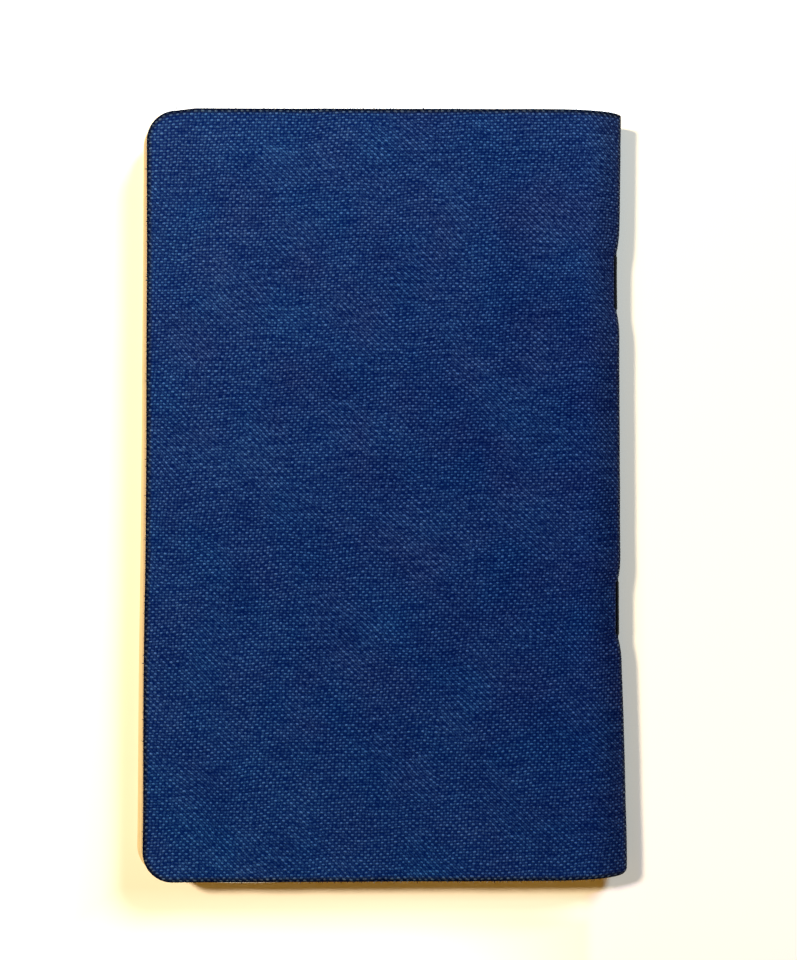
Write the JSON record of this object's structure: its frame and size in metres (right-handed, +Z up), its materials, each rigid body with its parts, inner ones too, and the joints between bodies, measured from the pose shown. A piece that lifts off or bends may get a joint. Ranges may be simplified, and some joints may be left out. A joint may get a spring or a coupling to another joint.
{
  "type": "cloth-covered pocket book",
  "caption": "Closed pocket book in dark blue woven cloth, wire stitched through a rounded fold, with rounded fore-edge corners and leaves that stand out a little at the fore-edge.",
  "frame": {"origin": "under the middle of the closed book, on the outer face of the front cover", "axes": "+X towards the folded spine, +Y towards the head, +Z up through the thickness to the rear cover"},
  "size_m": [0.1058, 0.165, 0.0068],
  "materials": {
    "book_cloth": "plain-woven cotton cloth, dyed dark blue, matt",
    "cover_card": "buff card, dense and stiff",
    "endpaper": "uncoated cream paper",
    "leaves": "uncoated cream paper, cut edges",
    "stitching_wire": "tarnished steel wire"
  },
  "bodies": {
    "front_cover": {"front_cover_cloth": "book_cloth", "front_cover_card": "cover_card", "front_endpaper": "endpaper"},
    "leaves": {"text_block": "leaves", "upper_stitch": "stitching_wire", "lower_stitch": "stitching_wire"},
    "rear_cover": {"rear_cover_cloth": "book_cloth", "rear_cover_card": "cover_card", "rear_endpaper": "endpaper"}
  },
  "joints": [
    {"name": "front_cover_fold", "type": "hinge", "parent": "front_cover", "child": "leaves", "pos_m": [0.05289, 0, 0.0034], "axis": [0, 1, 0], "range_deg": [0, 179.9]},
    {"name": "rear_cover_fold", "type": "hinge", "parent": "leaves", "child": "rear_cover", "pos_m": [0.05289, 0, 0.0034], "axis": [0, -1, 0], "range_deg": [-179.9, 0]}
  ]
}
